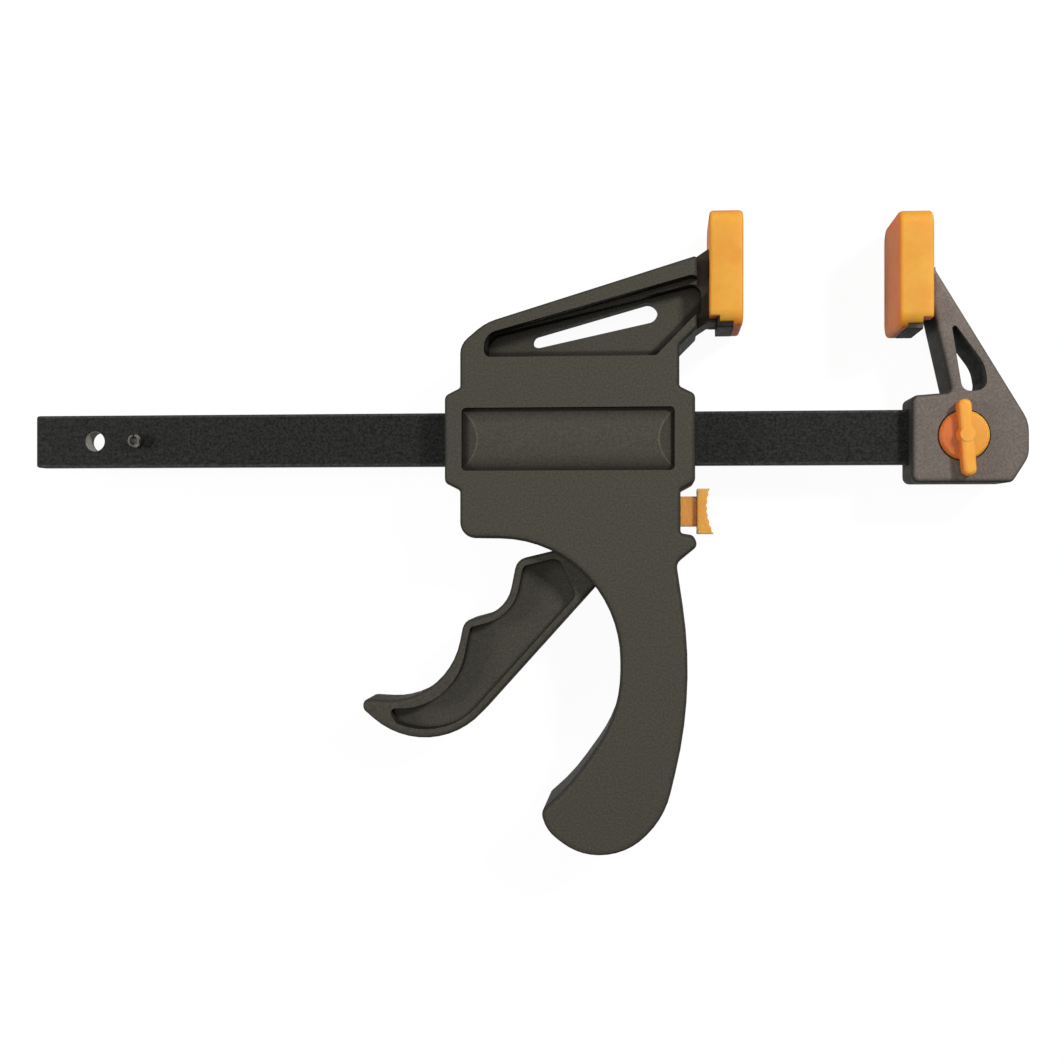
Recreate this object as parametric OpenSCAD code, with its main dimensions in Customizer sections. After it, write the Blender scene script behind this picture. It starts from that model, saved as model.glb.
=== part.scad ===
// One-handed bar clamp with a squeeze trigger.
// It lies on its side: X runs along the bar towards the fixed jaw, Y up to the pads, Z through its thickness.
// Sizes are in millimetres. While it is drawn, x = 0 is the moving pad's clamping face,
// y = 0 the middle of the bar and z = 0 the plane in which the two body shells meet.

/* [Bar] */
// Length of the steel bar
bar_length = 344; // [300:1:450]
// Height of the bar's broad face
bar_height = 19; // [17:0.5:22]
// Thickness of the bar
bar_thickness = 6; // [4:0.25:7]
// Radius of the bar's rolled edges
bar_edge = 0.8; // [0.2:0.1:1.5]
// From the free end of the bar to its spare pin hole
end_hole_inset = 22; // [15:0.5:26]
// From the free end of the bar to the stop pin
stop_pin_inset = 38; // [32:0.5:50]
// Diameter of the stop pin
stop_pin_diameter = 5; // [3:0.5:7]
// Length of the stop pin
stop_pin_length = 13; // [10:0.5:18]

/* [Pads] */
// Gap between the two pads as the clamp is stored
jaw_opening = 52.4; // [40:0.2:70]
// From the bar's edge to the top of the pads
throat_depth = 68.3; // [64:0.1:80]
// Height of a pad
pad_height = 39.9; // [37:0.1:44]
// Depth of a pad along the bar
pad_depth = 11.5; // [10.5:0.1:14]
// Width of a pad through the clamp
pad_width = 30; // [28:0.5:34]
// Cut of the pad's four corners, along its height
pad_corner = 3.8; // [3:0.1:5.5]
// Cut of the pad's four corners, along its width
pad_bevel = 2.6; // [2:0.1:4]
// How much lower the fixed jaw's pad stands than the moving one
fixed_pad_drop = 1.4; // [0:0.1:3]
// Thickness of a pad's clamping wall
pad_face_wall = 3.1; // [2:0.1:4]
// Thickness of the lips behind the tongue
pad_lip = 2.6; // [1.6:0.1:3.2]
// Width of the tongue that a pad slides on
tongue_width = 23; // [18:0.5:25]
// Width of the neck behind the tongue
neck_width = 14; // [10:0.5:16]

/* [Fixed jaw] */
// Thickness of the fixed jaw
jaw_thickness = 19; // [16:0.5:24]
// Length of the jaw's block along the bar
jaw_length = 39.4; // [36:0.1:46]
// Wall above the bar in the jaw's block
jaw_top_wall = 4.1; // [3:0.1:6]
// Wall below the bar in the jaw's block
jaw_bottom_wall = 6.6; // [4:0.1:9]
// From the jaw's open end to the lock pin
lock_pin_inset = 17.3; // [15:0.1:20]
// From the lock pin to the covered end of the bar
bar_past_pin = 13; // [8:0.5:14]

/* [Lock pin and wing knob] */
// Diameter of the lock pin
lock_pin_diameter = 7; // [5:0.25:8]
// Diameter of the knob's disc
knob_diameter = 16.8; // [15:0.1:20]
// Length of the wing across the knob
wing_length = 26; // [20:0.1:30]
// Width of the wing
wing_width = 4.6; // [4:0.1:7]
// Lean of the wing in the locked position
wing_lean = 4.5; // [0:0.1:10]
// Shift of the wing towards its lower, longer end
wing_shift = 1; // [0:0.1:2]
// Span of the pin's two locking lugs
lug_span = 12; // [10.5:0.1:13]
// Width of a locking lug
lug_width = 3; // [2:0.1:4]

/* [Body] */
// Thickness of the body over both shells
body_depth = 30; // [28:0.5:34]
// Length of the body between its end walls
body_length = 76; // [74:0.5:90]
// From the moving pad's clamping face back to the body's front wall
body_setback = 21.8; // [21:0.1:26]
// How far the bar collars stand out of the end walls
collar_out = 5.4; // [3:0.1:7]
// Height of the collars over the bar's upper edge
collar_top_wall = 7.6; // [6:0.1:10]
// Height of the collars under the bar's lower edge
collar_bottom_wall = 9.1; // [6:0.1:10]
// Radius round the edges of the moulded shells
shell_edge = 2; // [0.8:0.1:2.4]
// Thickness of the web in the arm
arm_web = 6; // [4:0.5:10]
// Width of the arm's top flange
arm_flange = 6; // [5:0.1:9]
// Depth of the recess round the barrel panel
panel_depth = 2.4; // [1.5:0.1:3]
// Height of the barrel panel
panel_height = 21.8; // [18:0.1:24]
// How far the barrel panel's middle lies under the bar's
panel_drop = 0.9; // [0:0.1:2]
// Wall of the hollow grip
grip_wall = 3.2; // [2:0.1:4.5]

/* [Trigger] */
// Thickness of the trigger
trigger_thickness = 16; // [12:0.5:18]
// Thickness of the trigger's web
trigger_web = 5; // [3:0.5:8]
// Width of the rim round the trigger's web
trigger_rim = 2.7; // [2:0.1:3.5]
// Radius round the trigger's edges
trigger_edge = 1.7; // [0.8:0.1:1.8]
// Diameter of the trigger's pivot pin
trigger_pin_diameter = 5; // [3:0.25:6]
// Radius of the nose that pushes the drive plates
nose_radius = 3; // [2:0.1:3.5]
// Height of the nose over the pivot
nose_rise = 16; // [14:0.1:17]
// How far the trigger turns when it is squeezed
trigger_travel = 25; // [10:1:25]

/* [Mechanism] */
// Thickness of one drive plate
drive_plate_thickness = 2.4; // [1.6:0.1:3]
// Width of the drive plates and the brake plate
plate_width = 15; // [12:0.5:16]
// Thickness of the brake plate
brake_plate_thickness = 3; // [2:0.1:3.4]
// Lean of the brake plate while it holds the bar
brake_lean = 2.4; // [2:0.1:3.2]
// Wire of the drive spring
drive_wire = 1.6; // [1:0.1:1.8]
// Turns of the drive spring
drive_turns = 9; // [6:1:12]
// Wire of the brake spring
brake_wire = 0.8; // [0.5:0.1:1]
// Outer diameter of the brake spring
brake_spring_diameter = 7; // [5:0.1:8]

/* [Release button] */
// Height of the button's head
button_height = 15.9; // [13:0.1:16.4]
// Width of the button's head
button_width = 12; // [9:0.5:16]
// Height of the button's stem
button_stem = 10.6; // [7:0.1:11]
// Number of grip teeth on the button's head
button_teeth = 7; // [4:1:9]

/* [Screws] */
// Shank diameter of the shell screws
screw_diameter = 2.9; // [2.2:0.1:3.2]
// Length of the shell screws under their heads
screw_length = 18; // [14:0.5:20]
// Diameter of the screws' heads
screw_head = 5.6; // [4.5:0.1:6]

/* [Clearances] */
// Sliding gap of the bar in its passages
bar_clearance = 0.25; // [0.1:0.05:0.4]
// Radial gap of a pin that turns in its bore
pin_clearance = 0.05; // [0.02:0.01:0.1]
// Radial gap of a pin that is pressed into its bore
press_clearance = 0.01; // [0:0.01:0.02]
// Gap round moulded pieces that slide or seat on each other
fit_clearance = 0.2; // [0.1:0.05:0.3]

/* [Hidden] */

// Smoothness: an arc is cut into chords that stay this close to it
arc_tolerance = 0.06;
// Chords round a moulded edge
edge_steps = 3;
// Shortest straight stretch between two rounded corners
corner_gap = 0.4;
// Smallest radius of a corner that is moved inwards
inner_corner = 0.3;
// Overshoot of a cutting shape past the face that it opens
past = 1;
$fn = 64;

moulded = [0.29, 0.28, 0.25];
orange = [0.93, 0.64, 0.27];
black_steel = [0.16, 0.16, 0.15];
bright_steel = [0.72, 0.72, 0.70];
spring_steel = [0.55, 0.56, 0.58];

// The bar's edges, from which everything above and below it is measured
high = bar_height / 2;
low = -bar_height / 2;

// The body's end walls and its collars
body_right = -body_setback;
body_left = body_right - body_length;
collar_right = body_right + collar_out;
collar_left = body_left - collar_out;
collar_slope = 2.7;

// Pads and tongues
pad_top = high + throat_depth;
pad_bottom = pad_top - pad_height;
tongue_front = pad_face_wall + fit_clearance;
tongue_back = pad_depth - pad_lip - fit_clearance;
tongue_top = pad_top - 4.6;
tongue_bottom = pad_bottom - 0.2;
neck_top = pad_top - 12.5;
neck_bottom = pad_bottom + 2.1;
arm_end = -pad_depth - 4.2;
arm_tip_top = pad_top - 15.9;
arm_tip_bottom = pad_bottom - 0.9;

// Fixed jaw, from the pad's clamping face outwards
jaw_left = jaw_opening + 5.2;
jaw_right = jaw_left + jaw_length;
jaw_bottom = low - jaw_bottom_wall;
jaw_top = high + jaw_top_wall;
lock_x = jaw_left + lock_pin_inset;
bar_right = lock_x + bar_past_pin;
bar_left = bar_right - bar_length;
stop_x = bar_left + stop_pin_inset;
end_hole_x = bar_left + end_hole_inset;
bar_hole_radius = lock_pin_diameter / 2 + pin_clearance;

// Seat of the knob and the quarter-turn lugs in the jaw's front wall
knob_recess = 2;
lug_thickness = 1.8;
lug_seat = bar_thickness / 2 + bar_clearance;
lug_pocket_top = lug_seat + lug_thickness + 2 * fit_clearance;
knob_floor = jaw_thickness / 2 - knob_recess;

// The trigger's pivot, its nose and the plates that it drives
pivot = [body_right - 21.7, low - 23.5];
nose = [pivot[0], pivot[1] + nose_rise];
drive_right = nose[0] - nose_radius - 0.1;
drive_left = drive_right - 2 * drive_plate_thickness;
drive_travel = nose_rise * trigger_travel * PI / 180;
drive_bottom = low - 11.5;
drive_top = high + 4;

// Chambers inside the shells
chamber_half = plate_width / 2 + 0.5;
spring_rib = body_right - 15.4;
rib_thickness = 1.6;
front_wall = 3;
bar_diagonal = norm([bar_height, bar_thickness]) / 2;
spring_inner = bar_diagonal + 0.3;
spring_outer = spring_inner + drive_wire;
spring_bore = spring_outer + 0.4;
spring_seat = body_left + 6.3;

// The brake plate leans about its upper edge; the button meets its lower part
button_y = low - 16.3;
brake_seat = [body_right - 8.3, high + 3.9];
brake_tip = low - 21.6;
brake_hole = (bar_height + brake_plate_thickness * sin(brake_lean)) / cos(brake_lean) + 0.1;
flange_thickness = 1.6;
stem_depth = 4;
flange_right = body_right - front_wall - 0.1;
flange_left = flange_right - flange_thickness;

// Turns a vector by an angle
function turned(v, angle) = [
    v[0] * cos(angle) - v[1] * sin(angle),
    v[0] * sin(angle) + v[1] * cos(angle)
];
function unit(v) = v / norm(v);
function left_of(v) = [-v[1], v[0]];
function flat(p) = [p[0], p[1]];
// Unit vector along the edge that ends at corner i of a closed outline
function edge_into(points, i) =
    unit(flat(points[i]) - flat(points[(i + len(points) - 1) % len(points)]));
function turn_between(a, b) = atan2(a[0] * b[1] - a[1] * b[0], a * b);
// Degrees of arc whose chord stays within the tolerance
function arc_step(radius) = radius > 0 ? min(30, 2 * acos(1 - min(arc_tolerance / radius, 0.5))) : 90;
function edge_length(points, i) =
    norm(flat(points[i]) - flat(points[(i + len(points) - 1) % len(points)]));
function corner_turn(points, i) = turn_between(edge_into(points, i), edge_into(points, (i + 1) % len(points)));
// Length that the rounding of corner i takes from each of its two edges
function rounding_reach(points, i) = points[i][2] * tan(abs(corner_turn(points, i)) / 2);
// Share of a corner's radius that its two edges leave room for
function rounding_room(points, i) = let (
    n = len(points),
    own = rounding_reach(points, i),
    before = rounding_reach(points, (i + n - 1) % n),
    after = rounding_reach(points, (i + 1) % n)
) own > 0 ? min(1, (edge_length(points, i) - corner_gap) / (own + before),
                (edge_length(points, (i + 1) % n) - corner_gap) / (own + after)) : 1;
// The outline with every radius limited by its walls
function fitted(points) = [
    for (i = [0 : len(points) - 1])
        [points[i][0], points[i][1], points[i][2] * rounding_room(points, i)]
];
// Corner [x, y, radius] moved inwards by d, its radius kept true to the moved edges
function inset_corner(points, i, d) = let (
    a = edge_into(points, i),
    b = edge_into(points, (i + 1) % len(points)),
    p = flat(points[i]) + d * (left_of(a) + left_of(b)) / (1 + left_of(a) * left_of(b)),
    side = sign(turn_between(a, b))
) [p[0], p[1], points[i][2] > 0 ? max(points[i][2] - side * d, inner_corner) : 0];
// Points round a closed outline of [x, y, radius] corners, the whole moved inwards by d
function ring(outline, d = 0) = let (points = fitted(outline)) [
    for (i = [0 : len(points) - 1]) let (
        a = edge_into(points, i),
        turn = corner_turn(points, i),
        corner = inset_corner(points, i, d),
        radius = corner[2],
        steps = points[i][2] > 0 ? max(1, ceil(abs(turn) / arc_step(points[i][2]))) : 0,
        start = flat(corner) - a * radius * tan(abs(turn) / 2),
        centre = start + sign(turn) * radius * left_of(a)
    ) each (steps == 0
        ? [flat(corner)]
        : [for (k = [0 : steps]) centre + turned(start - centre, turn * k / steps)])
];

// Straight-sided plate with the outline's shape, moved inwards if asked
module plate(points, bottom, top, inset = 0) {
    translate([0, 0, bottom]) linear_extrude(top - bottom) polygon(ring(points, inset));
}

// Heights and insets of a rounded edge, from its wall to a little past its flat face:
// the last chord runs on, so that one flat cut can end it
function edge_levels(radius) = let (
    round = [
        for (k = [0 : edge_steps]) let (w = 90 * k / edge_steps) radius * [sin(w) - 1, 1 - cos(w)]
    ],
    chord = round[edge_steps] - round[edge_steps - 1]
) concat([for (k = [0 : edge_steps - 1]) round[k]], [round[edge_steps] + chord / 2]);
function upper_levels(top, radius) = [for (level = edge_levels(radius)) [top + level[0], level[1]]];
function lower_levels(bottom, radius) = let (levels = edge_levels(radius))
    [for (k = [edge_steps : -1 : 0]) [bottom - levels[k][0], levels[k][1]]];
// Plate whose upper edge, and lower edge if asked, is rounded
module moulding(points, bottom, top, upper_edge, lower_edge = 0) {
    levels = concat(
        lower_edge > 0 ? lower_levels(bottom, lower_edge) : [[bottom, 0]],
        upper_levels(top, upper_edge)
    );
    rings = [for (level = levels) ring(points, level[1])];
    count = len(rings[0]);
    last = len(levels) - 1;
    reach = max([for (p = rings[0]) norm(p)]) + upper_edge + lower_edge;
    difference() {
        polyhedron(
            points = [for (i = [0 : last]) for (p = rings[i]) [p[0], p[1], levels[i][0]]],
            faces = concat(
                [[for (k = [0 : count - 1]) k]],
                [for (i = [0 : last - 1]) for (k = [0 : count - 1])
                    [i * count + k, (i + 1) * count + k,
                     (i + 1) * count + (k + 1) % count, i * count + (k + 1) % count]],
                [[for (k = [count - 1 : -1 : 0]) last * count + k]]
            )
        );
        block([-reach, -reach, top], [reach, reach, top + upper_edge]);
        if (lower_edge > 0) block([-reach, -reach, bottom - lower_edge], [reach, reach, bottom]);
    }
}

// Box between two corners
module block(low_corner, high_corner) {
    translate(low_corner) cube(high_corner - low_corner);
}
// Cylinder along X
module rod_x(x0, x1, radius) {
    translate([x0, 0, 0]) rotate([0, 90, 0]) cylinder(r = radius, h = x1 - x0);
}
// Everything drawn is moved from the drawing's datum to the stored origin
module place() {
    translate([-(bar_left + jaw_right) / 2, -(grip_bottom + pad_top) / 2, max(body_depth, pad_width) / 2])
        children();
}

// The steel bar, with its rolled edges, the spare pin hole, the stop pin's hole and the lock pin's hole
module bar() color(black_steel) place() difference() {
    intersection() {
        translate([bar_left, 0, 0]) rotate([90, 0, 90])
            plate([
                [low, -bar_thickness / 2, bar_edge], [high, -bar_thickness / 2, bar_edge],
                [high, bar_thickness / 2, bar_edge], [low, bar_thickness / 2, bar_edge]
            ], 0, bar_length);
        plate([
            [bar_left, low, bar_edge], [bar_right, low, bar_edge],
            [bar_right, high, bar_edge], [bar_left, high, bar_edge]
        ], -bar_thickness, bar_thickness);
    }
    for (x = [end_hole_x, lock_x])
        translate([x, 0, -bar_thickness]) cylinder(r = bar_hole_radius, h = 2 * bar_thickness);
    translate([stop_x, 0, -bar_thickness]) cylinder(d = stop_pin_diameter, h = 2 * bar_thickness);
}

// Slotted spring pin that stops the body from leaving the bar
module stop_pin() color(bright_steel) place() {
    radius = stop_pin_diameter / 2 - press_clearance;
    half = stop_pin_length / 2;
    wall = stop_pin_diameter / 5;
    slit = stop_pin_diameter / 8;
    taper = [0.4, 0.8];
    translate([stop_x, 0, 0]) difference() {
        rotate_extrude() polygon([
            [radius - wall, -half], [radius - taper[0], -half], [radius, -half + taper[1]],
            [radius, half - taper[1]], [radius - taper[0], half], [radius - wall, half]
        ]);
        block([-slit / 2, 0, -stop_pin_length], [slit / 2, radius + past, stop_pin_length]);
    }
}

// Tongue on which a pad slides, full width, its four corners cut
module tongue() {
    half = tongue_width / 2;
    cut = 3;
    lower_cut = 1.5;
    translate([-tongue_back, 0, 0]) rotate([90, 0, 90]) plate([
        [tongue_bottom, -half + lower_cut, 1], [tongue_bottom + cut, -half, 1],
        [tongue_top - cut, -half, 1], [tongue_top, -half + cut, 1],
        [tongue_top, half - cut, 1], [tongue_top - cut, half, 1],
        [tongue_bottom + cut, half, 1], [tongue_bottom, half - lower_cut, 1]
    ], 0, tongue_back - tongue_front);
}

// Pad with its clamping face at x = 0, open below so that it slides down over the tongue
module pad() {
    half = pad_width / 2;
    corner_radius = 4.5;
    face_edge = 1.4;
    back_edge = 1.2;
    notch_top = pad_bottom + 1.4;
    back_lip_bottom = pad_bottom + 3.2;
    outline = [
        [pad_bottom + pad_corner, -half, corner_radius], [pad_top - pad_corner, -half, corner_radius],
        [pad_top, -half + pad_bevel, corner_radius], [pad_top, half - pad_bevel, corner_radius],
        [pad_top - pad_corner, half, corner_radius], [pad_bottom + pad_corner, half, corner_radius],
        [pad_bottom, half - pad_bevel, corner_radius], [pad_bottom, -half + pad_bevel, corner_radius]
    ];
    difference() {
        rotate([90, 0, 90]) moulding(outline, -pad_depth, 0, face_edge, back_edge);
        // Cavity for the tongue, and the notches through which its sides show
        block([-pad_depth + pad_lip, pad_bottom - past, -tongue_width / 2 - fit_clearance],
              [-pad_face_wall, tongue_top + fit_clearance, tongue_width / 2 + fit_clearance]);
        block([-pad_depth + pad_lip, pad_bottom - past, -half - past],
              [-pad_face_wall, notch_top, half + past]);
        // Way for the neck between the lips, which end a little above the face
        block([-pad_depth - past, pad_bottom - past, -neck_width / 2 - fit_clearance],
              [-pad_depth + pad_lip + past, neck_top + fit_clearance, neck_width / 2 + fit_clearance]);
        block([-pad_depth - past, pad_bottom - past, -half - past],
              [-pad_depth + pad_lip + past, back_lip_bottom, half + past]);
    }
}
module moving_pad() color(orange) place() pad();
module on_fixed_jaw() translate([jaw_opening, -fixed_pad_drop, 0]) mirror([1, 0, 0]) children();
module fixed_pad() color(orange) place() on_fixed_jaw() pad();

// Fixed jaw: a block that the bar plugs into, an arm with a window, and the pad's tongue
module fixed_jaw() color(moulded) place() difference() {
    half = jaw_thickness / 2;
    edge = 2;
    arm_back = jaw_opening + pad_depth + 0.3;
    arm_peak = pad_top - 18.5;
    arm_heel = pad_bottom + 6.7;
    outline = [
        [jaw_left, jaw_bottom, 2.4], [jaw_right - 5.6, jaw_bottom, 2.5],
        [jaw_right, low + 2.3, 8], [jaw_right, low + 14.1, 12],
        [arm_back, arm_peak, 0.6], [arm_back, arm_heel, 0.6],
        [jaw_left + 13.3, jaw_top + 1.2, 1.5], [jaw_left, jaw_top + 0.2, 2.2]
    ];
    window = [
        [jaw_left + 12.7, pad_bottom + 2.2, 0.9], [jaw_left + 16.8, jaw_top + 1.5, 3],
        [jaw_left + 25.6, jaw_top + 1.5, 3.6], [jaw_left + 24.2, jaw_top + 10.6, 12]
    ];
    neck_top_gap = 1.4;
    neck_bottom_gap = 1.6;
    neck_root = 2;
    union() {
        moulding(outline, -half, half, edge, edge);
        on_fixed_jaw() {
            tongue();
            block([-pad_depth - neck_root, arm_heel + fixed_pad_drop + neck_bottom_gap, -neck_width / 2],
                  [-tongue_back + past, arm_peak + fixed_pad_drop - neck_top_gap, neck_width / 2]);
        }
    }
    plate(window, -half - past, half + past);
    block([jaw_left - past, low - bar_clearance, -bar_thickness / 2 - bar_clearance],
          [bar_right + bar_clearance, high + bar_clearance, bar_thickness / 2 + bar_clearance]);
    translate([lock_x, 0, 0]) {
        translate([0, 0, -half - past]) cylinder(r = bar_hole_radius, h = 2 * (half + past));
        translate([0, 0, knob_floor]) cylinder(d = knob_diameter + 1, h = knob_recess + past);
        translate([0, 0, lug_seat - past])
            cylinder(d = lug_span + 4 * fit_clearance, h = lug_pocket_top - lug_seat + past);
        block([-lug_span / 2 - fit_clearance, -lug_width / 2 - fit_clearance, lug_seat],
              [lug_span / 2 + fit_clearance, lug_width / 2 + fit_clearance, knob_floor + past]);
    }
}

// Steel lock pin: its lugs stand under the jaw's front wall until the knob is turned a quarter
module jaw_pin() color(bright_steel) place() translate([lock_x, 0, 0]) {
    radius = lock_pin_diameter / 2;
    rear = -jaw_thickness / 2 - 1.2;
    rotate_extrude() polygon([
        [0, rear], [radius - 1, rear], [radius, rear + 1],
        [radius, knob_floor + 3], [0, knob_floor + 3]
    ]);
    intersection() {
        block([-lug_width / 2, -lug_span / 2, lug_seat + fit_clearance],
              [lug_width / 2, lug_span / 2, lug_seat + fit_clearance + lug_thickness]);
        cylinder(d = lug_span, h = jaw_thickness);
    }
}

// Moulded knob with a wing across its disc
module wing_knob() color(orange) place() translate([lock_x, 0, knob_floor + 0.1]) difference() {
    disc_height = 3.4;
    disc_edge = 0.8;
    crown = 0.4;
    radius = knob_diameter / 2;
    wing_top = jaw_thickness / 2 + 4.9 - knob_floor;
    wing_half = wing_width / 2;
    wing_end = wing_half - 0.05;
    hub_foot = wing_width + 3.4;
    hub_top = wing_width + 0.4;
    pin_depth = 3;
    union() {
        rotate_extrude() polygon([
            [0, 0], [radius, 0], [radius, disc_height - disc_edge],
            [radius - disc_edge, disc_height], [0, disc_height + crown]
        ]);
        rotate(wing_lean) translate([0, -wing_shift, 0]) moulding([
            [wing_half, -wing_length / 2, wing_end], [wing_half, wing_length / 2, wing_end],
            [-wing_half, wing_length / 2, wing_end], [-wing_half, -wing_length / 2, wing_end]
        ], knob_recess + 0.3, wing_top, 1.4);
        cylinder(d1 = hub_foot, d2 = hub_top, h = wing_top + 0.2);
    }
    translate([0, 0, -past]) cylinder(r = lock_pin_diameter / 2 + press_clearance, h = pin_depth + past);
}

// The body's outline, anticlockwise from the arm's upper tip
grip_palm = [
    [body_right - 5, low - 121.5, 30], [body_right + 5.5, low - 77.6, 150],
    [body_right - 1, low - 34.3, 3]
];
grip_end = [
    [body_right - 38.8, low - 112.1, 70], [body_right - 47.9, low - 119.8, 5],
    [body_right - 46, low - 126.8, 16], [body_right - 34.8, low - 135.1, 22],
    [body_right - 18.2, low - 134.9, 24]
];
grip_throat = [
    [body_right - 20.3, low - 26.3, 42], [body_right - 20.3, low - 86.2, 46.5]
];
thumb_rest = [
    [body_right + 6.4, low - 28.2, 2.2], [body_right + 4.8, low - 24.6, 2.2],
    [body_right + 0.4, low - 23.9, 1]
];
collar_corner = 2.2;
body_outline = concat(
    [
        [arm_end, arm_tip_top, 1], [body_left + 8.8, high + 30.2, 18],
        [body_left, high + 22.8, 7], [body_left, high + collar_top_wall, 1.2],
        [collar_left, high + collar_top_wall - collar_slope, collar_corner],
        [collar_left, low - collar_bottom_wall + collar_slope, collar_corner],
        [body_left, low - collar_bottom_wall, 1.2], [body_left, low - 25.6, 5.5]
    ],
    grip_throat, grip_end, grip_palm, thumb_rest,
    [
        [body_right + 0.4, low - collar_bottom_wall, 1.2],
        [collar_right, low - collar_bottom_wall + collar_slope, collar_corner],
        [collar_right, high + collar_top_wall - collar_slope, collar_corner],
        [body_right, high + collar_top_wall, 1.2], [body_right, high + 21.4, 1.5],
        [arm_end, arm_tip_bottom, 1]
    ]
);
grip_bottom = min([for (p = ring(body_outline)) p[1]]);

// Arm pocket on each side of the web, its foot drawn in under the flange towards the pad
pocket_floor_y = high + 18;
pocket_step = 2.2;
pocket_step_z = 9;
pocket_end = arm_end + 1.5;
function pocket_outline(step) = [
    [pocket_end, arm_tip_top - arm_flange - step, 3.2], [body_left + 8.5, high + 25.9, 5.5],
    [body_left + 8.6, pocket_floor_y, 2.2], [body_right - 7.9, pocket_floor_y, 1.5],
    [pocket_end, arm_tip_bottom + 6.4, 1.5]
];
module arm_pocket() {
    plate(pocket_outline(0), pocket_step_z, body_depth);
    plate(pocket_outline(pocket_step), arm_web / 2, body_depth);
}

// Slot through the web, wider towards the pad
module web_slot() {
    a = [body_left + 26.4, high + 25.2];
    b = [body_right - 11.2, arm_tip_bottom + 7.2];
    ra = 2.4;
    rb = 3.6;
    along = unit(b - a);
    lean = asin((rb - ra) / norm(b - a));
    up = turned(left_of(along), lean);
    down = turned(-left_of(along), -lean);
    linear_extrude(2 * arm_web, center = true) {
        translate(a) circle(ra);
        translate(b) circle(rb);
        polygon([a + ra * up, a + ra * down, b + rb * down, b + rb * up]);
    }
}

// Recess of the barrel panel: what is left standing in it is a barrel with sloped ends
module panel_recess() translate([0, -panel_drop, 0]) {
    face = body_depth / 2;
    floor_z = face - panel_depth;
    crown = face - 0.2;
    x0 = body_left + 0.8;
    x1 = body_right - 1.6;
    half = panel_height / 2;
    corner = 1.5;
    sagitta = crown - floor_z;
    radius = (half * half + sagitta * sagitta) / (2 * sagitta);
    ramp = 6;
    ramp_foot = floor_z + 0.3;
    difference() {
        plate([[x0, -half, corner], [x1, -half, corner], [x1, half, corner], [x0, half, corner]],
              floor_z, face + past);
        intersection() {
            translate([0, 0, crown - radius]) rod_x(x0 - past, x1 + past, radius, $fn = 120);
            rotate([90, 0, 0]) linear_extrude(panel_height + 2 * past, center = true) polygon([
                [x0 - past, floor_z - past], [x1 + past, floor_z - past],
                [x1 + past, ramp_foot], [x1, ramp_foot], [x1 - ramp, crown + 0.2],
                [x0 + ramp, crown + 0.2], [x0, ramp_foot], [x0 - past, ramp_foot]
            ]);
        }
    }
}

// Shell screws: where they stand, seen from the front
screw_places = [
    [body_left + 7.3, high + 13.1], [body_right - 6.7, high + 13.1],
    [body_left + 7.3, low - 17.5], [body_right - 5.4, low - 30.6],
    [body_right - 9.2, low - 70.5], [body_right - 24, low - 122]
];
screw_seat = 6;
screw_head_height = 2.2;
boss_radius = screw_head / 2 + 1.6;

// Hollow of the grip, with cross ribs and screw bosses left standing
module grip_hollow() {
    top = low - 55.3;
    corner = grip_wall + 2;
    outside = concat(
        [[body_right + 2.1, top, corner], [grip_throat[1][0], top, corner], grip_throat[1]],
        grip_end, [grip_palm[0], grip_palm[1]]
    );
    rib_half = 0.8;
    difference() {
        plate(outside, -past, body_depth / 2 - grip_wall, grip_wall);
        for (y = [low - 77, low - 96, low - 112])
            block([body_left, y - rib_half, -2 * past], [collar_right + collar_out, y + rib_half, body_depth]);
        for (p = screw_places)
            translate([p[0], p[1], -2 * past]) cylinder(r = boss_radius, h = body_depth);
    }
}

// Room in which the trigger swings, open through the grip's throat
module trigger_chamber() {
    plate([
        [pivot[0] - 10.8, pivot[1] + 12, 0], [pivot[0] - 10.8, pivot[1] + 1.6, 0],
        [pivot[0] - 30.5, pivot[1] - 4, 0], [pivot[0] - 30.5, pivot[1] - 14, 0],
        [pivot[0] - 14, pivot[1] - 36, 0], [pivot[0] - 0.2, pivot[1] - 36, 0],
        [pivot[0] + 8.2, pivot[1] - 5, 0], [pivot[0] + 8.2, pivot[1] + 3, 0],
        [pivot[0] + 5.2, pivot[1] + 12, 0]
    ], -past, trigger_thickness / 2 + 0.5);
}

// Chambers for the plates, springs, button and bar, cut from z = 0 upwards
module mechanism_chambers() {
    block([collar_left - past, low - bar_clearance, -past],
          [collar_right + past, high + bar_clearance, bar_thickness / 2 + bar_clearance]);
    rod_x(spring_seat, drive_right + 1, spring_bore);
    block([drive_left - drive_travel - 1, drive_bottom - 1, -past],
          [spring_rib - rib_thickness, drive_top + 1, chamber_half]);
    trigger_chamber();
    block([spring_rib, brake_tip - 1.6, -past],
          [body_right - front_wall, high + 2.4, chamber_half]);
    block([brake_seat[0] - brake_plate_thickness / 2 - 0.6, high, -past],
          [brake_seat[0] + brake_plate_thickness / 2 + 0.7, brake_seat[1] + 2.6, chamber_half]);
    block([body_right - front_wall - past, button_y - button_stem / 2 - fit_clearance, -past],
          [body_right + past, button_y + button_stem / 2 + fit_clearance, stem_depth + fit_clearance]);
}

// Neck between the arm and the tongue
neck_outline = [
    [arm_end - 3, arm_tip_bottom - 1.5, 0], [-pad_depth - 0.4, neck_bottom, 0],
    [-tongue_back + 0.6, neck_bottom, 0], [-tongue_back + 0.6, neck_top, 0],
    [-pad_depth - 0.5, neck_top, 0], [arm_end - 3, arm_tip_top - 1.1, 0]
];

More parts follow.
